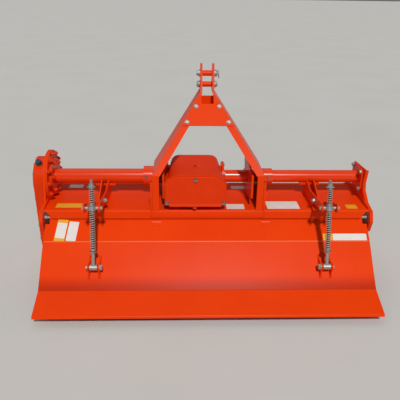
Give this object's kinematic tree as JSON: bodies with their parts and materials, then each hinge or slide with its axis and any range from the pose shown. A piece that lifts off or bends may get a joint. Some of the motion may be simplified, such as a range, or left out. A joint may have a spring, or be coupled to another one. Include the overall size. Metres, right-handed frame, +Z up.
{
  "type": "rotary tiller",
  "caption": "Tractor-mounted rotary tiller with a tined rotor under a hood, a hinged tail board on spring rods, a gearbox and a three-point hitch frame.",
  "frame": {"origin": "ground level under the middle of the bounding box", "axes": "+X to the right seen from behind, along the rotor; +Y forwards, towards the tractor; +Z up"},
  "size_m": [1.991, 1.0744, 1.238],
  "materials": {
    "orange_paint": "gloss",
    "zinc_steel": "bright zinc",
    "bare_steel": "satin",
    "black_paint": "satin",
    "dark_plastic": "matte"
  },
  "bodies": {
    "frame": {"hood": "orange_paint", "plate_left": "orange_paint", "plate_right": "orange_paint", "skid_left": "black_paint", "skid_right": "black_paint", "gear_case": "orange_paint", "case_flange": "orange_paint", "tube_left": "orange_paint", "tube_right": "orange_paint", "end_flange": "orange_paint", "gearbox": "orange_paint", "gearbox_cover": "orange_paint", "cover_bolts": "zinc_steel", "mast_left": "orange_paint", "mast_right": "orange_paint", "cross_plate": "orange_paint", "cross_bolts": "zinc_steel", "front_tie": "orange_paint", "top_pins": "zinc_steel", "top_spacers": "orange_paint", "pin_left": "bare_steel", "pin_right": "bare_steel", "hitch_left": "orange_paint", "hitch_right": "orange_paint", "saddle_left": "orange_paint", "saddle_right": "orange_paint", "bracket_left": "orange_paint", "bracket_right": "orange_paint", "bearing_left": "orange_paint", "bearing_right": "orange_paint", "plugs": "dark_plastic", "hinge_bolts": "zinc_steel"},
    "rotor": {"rotor_tube": "black_paint", "tines": "black_paint"},
    "input": {"input_shaft": "bare_steel"},
    "tail_board": {"board": "orange_paint", "clevis_left": "orange_paint", "clevis_right": "orange_paint"},
    "rod_l": {"rod_left": "zinc_steel", "spring_left": "zinc_steel"},
    "rod_r": {"rod_right": "zinc_steel", "spring_right": "zinc_steel"},
    "trunnion_l": {"trunnion_left": "zinc_steel", "spring_top_left": "zinc_steel"},
    "trunnion_r": {"trunnion_right": "zinc_steel", "spring_top_right": "zinc_steel"}
  },
  "joints": [
    {"name": "rotor_spin", "type": "hinge", "parent": "frame", "child": "rotor", "pos_m": [0.0315, 0.15725, 0.215], "axis": [1, 0, 0], "continuous": true},
    {"name": "input_spin", "type": "hinge", "parent": "frame", "child": "input", "pos_m": [-0.0415, 0.41725, 0.578], "axis": [0, 1, 0], "continuous": true},
    {"name": "board_hinge", "type": "hinge", "parent": "frame", "child": "tail_board", "pos_m": [0.0315, -0.06275, 0.412], "axis": [-1, 0, 0], "range_deg": [0, 30], "deforming": ["spring_left", "spring_right"]},
    {"name": "rod_left_swing", "type": "hinge", "parent": "tail_board", "child": "rod_l", "pos_m": [-0.6055, -0.32276, 0.22906], "axis": [-1, 0, 0], "range_deg": [-5.25, 0]},
    {"name": "rod_right_swing", "type": "hinge", "parent": "tail_board", "child": "rod_r", "pos_m": [0.6915, -0.32276, 0.22906], "axis": [-1, 0, 0], "range_deg": [-5.25, 0]},
    {"name": "trunnion_left_swing", "type": "hinge", "parent": "frame", "child": "trunnion_l", "pos_m": [-0.6055, -0.23775, 0.55], "axis": [-1, 0, 0], "range_deg": [0, 24.75]},
    {"name": "trunnion_right_swing", "type": "hinge", "parent": "frame", "child": "trunnion_r", "pos_m": [0.6915, -0.23775, 0.55], "axis": [-1, 0, 0], "range_deg": [0, 24.75]}
  ],
  "couplings": [
    {"joint": "input_spin", "follows": "rotor_spin", "ratio": 2.57},
    {"joint": "rod_left_swing", "follows": "board_hinge", "ratio": -0.175},
    {"joint": "rod_right_swing", "follows": "board_hinge", "ratio": -0.175},
    {"joint": "trunnion_left_swing", "follows": "board_hinge", "ratio": 0.825},
    {"joint": "trunnion_right_swing", "follows": "board_hinge", "ratio": 0.825}
  ]
}
